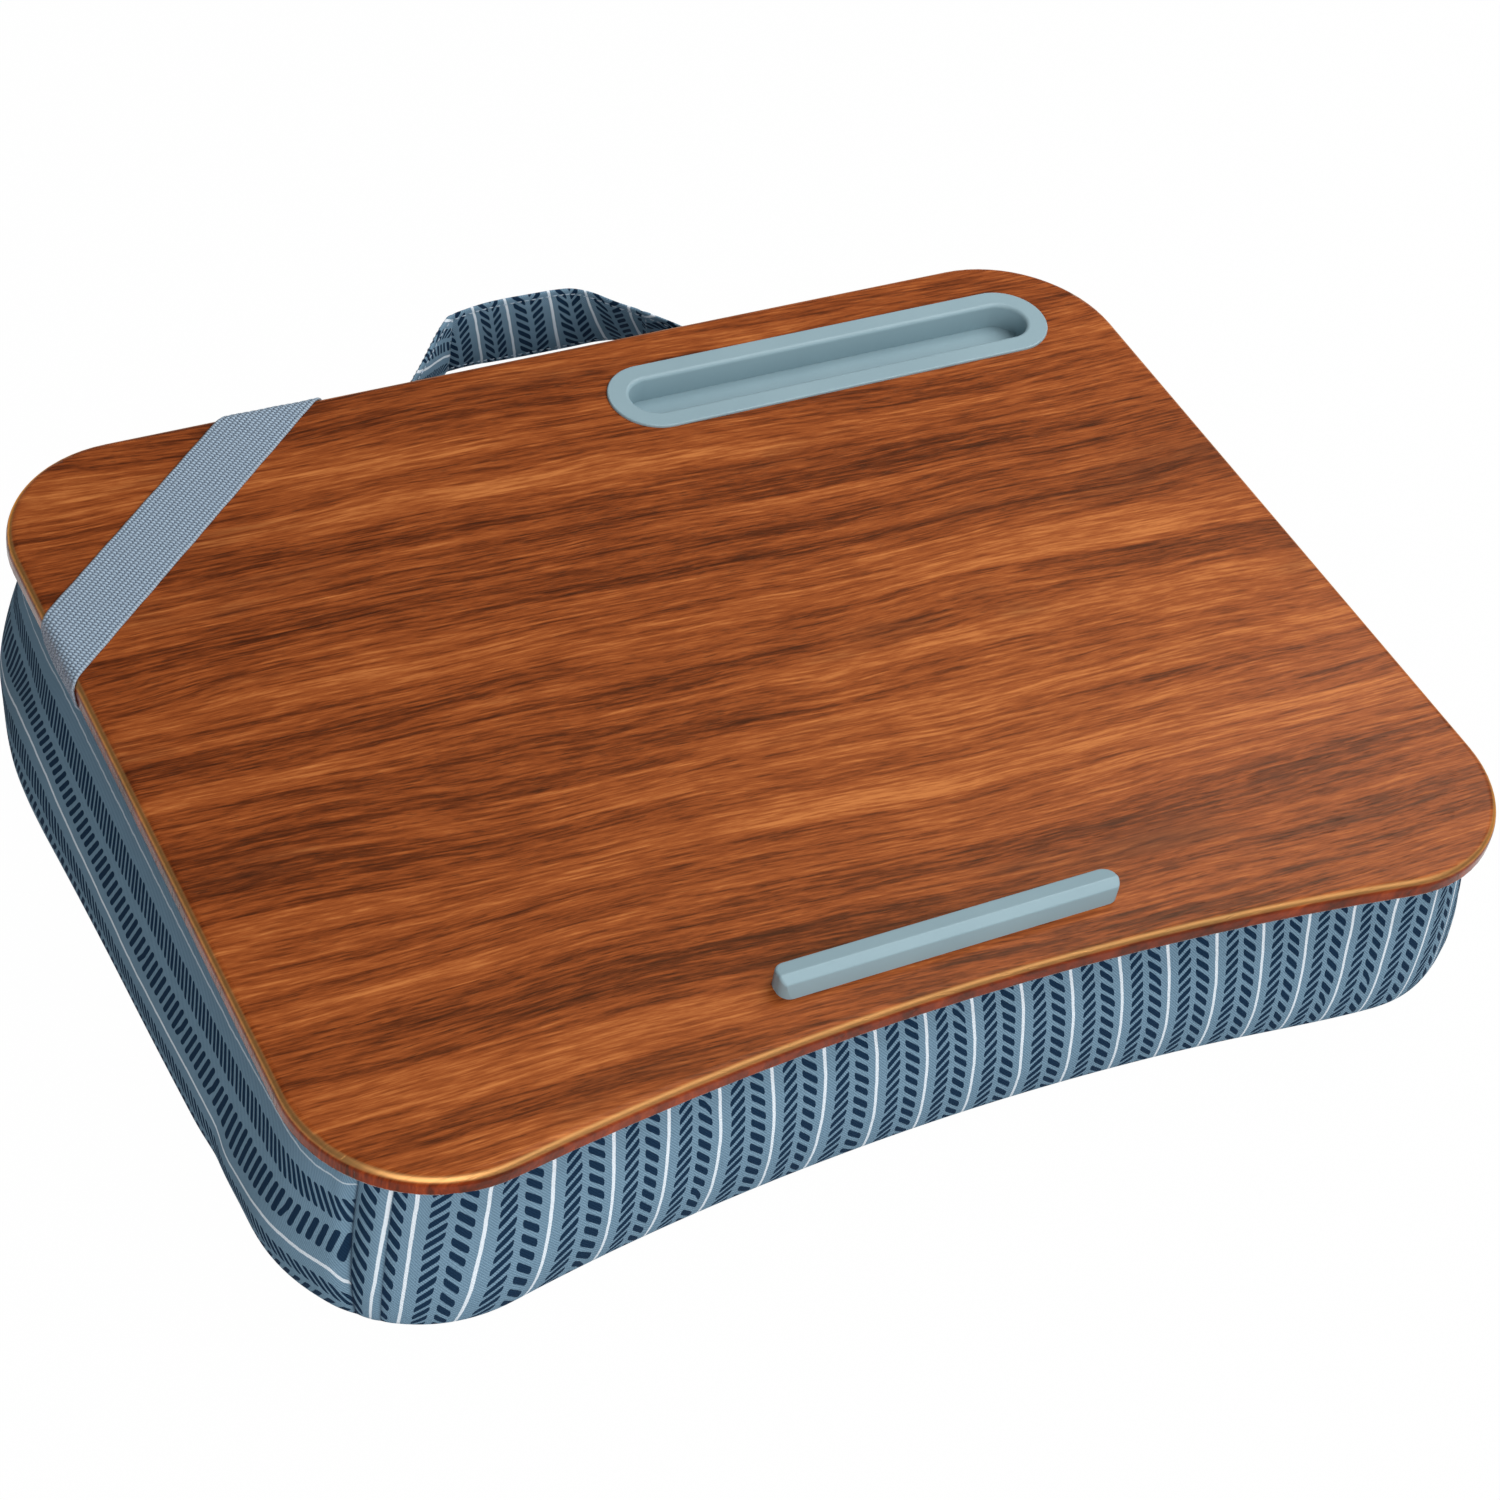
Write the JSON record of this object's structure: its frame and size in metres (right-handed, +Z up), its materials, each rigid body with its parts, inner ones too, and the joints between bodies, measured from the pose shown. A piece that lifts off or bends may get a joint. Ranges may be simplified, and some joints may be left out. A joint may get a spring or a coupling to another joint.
{
  "type": "lap desk",
  "caption": "Lap desk: a round-cornered wood-look board on a printed cushion, with a phone tray, device ledge, elastic corner strap and carry handle.",
  "frame": {"origin": "on the rest face, under the middle of the board's width and depth", "axes": "+X to the user's right along the front edge, +Y away from the user towards the carry handle, +Z up out of the board's top"},
  "size_m": [0.4722, 0.3992, 0.0739],
  "materials": {
    "fibreboard": "raw sawn",
    "wood_foil": "satin wood-grain foil",
    "backing_paper": "matte",
    "blue_plastic": "satin",
    "zinc_steel": "zinc plated",
    "elastic": "ribbed woven elastic",
    "printed_cloth": "printed twill",
    "plain_cloth": "plain weave",
    "card_strip": "pressed card",
    "lining_cloth": "non-woven",
    "bead_fill": "loose foam beads",
    "webbing": "flat woven"
  },
  "bodies": {
    "desk": {"board_core": "fibreboard", "wood_foil": "wood_foil", "backing_sheet": "backing_paper", "phone_tray": "blue_plastic", "device_ledge": "blue_plastic", "ledge_screws": "zinc_steel", "elastic_strap": "elastic", "strap_staples": "zinc_steel", "front_panel": "printed_cloth", "right_panel": "printed_cloth", "back_panel": "printed_cloth", "left_panel": "printed_cloth", "bottom_panel": "plain_cloth", "hem_strips": "card_strip", "top_lining": "lining_cloth", "bead_fill": "bead_fill", "hem_staples": "zinc_steel", "handle_foot_left": "printed_cloth", "handle_foot_right": "printed_cloth"},
    "handle": {"handle_grip": "printed_cloth", "handle_tab_left": "printed_cloth", "handle_tab_right": "printed_cloth", "handle_webbing": "webbing"}
  },
  "joints": [
    {"name": "handle_swing", "type": "hinge", "parent": "desk", "child": "handle", "pos_m": [0, 0.17875, 0.05386], "axis": [1, 0, 0], "range_deg": [0, 75]}
  ]
}
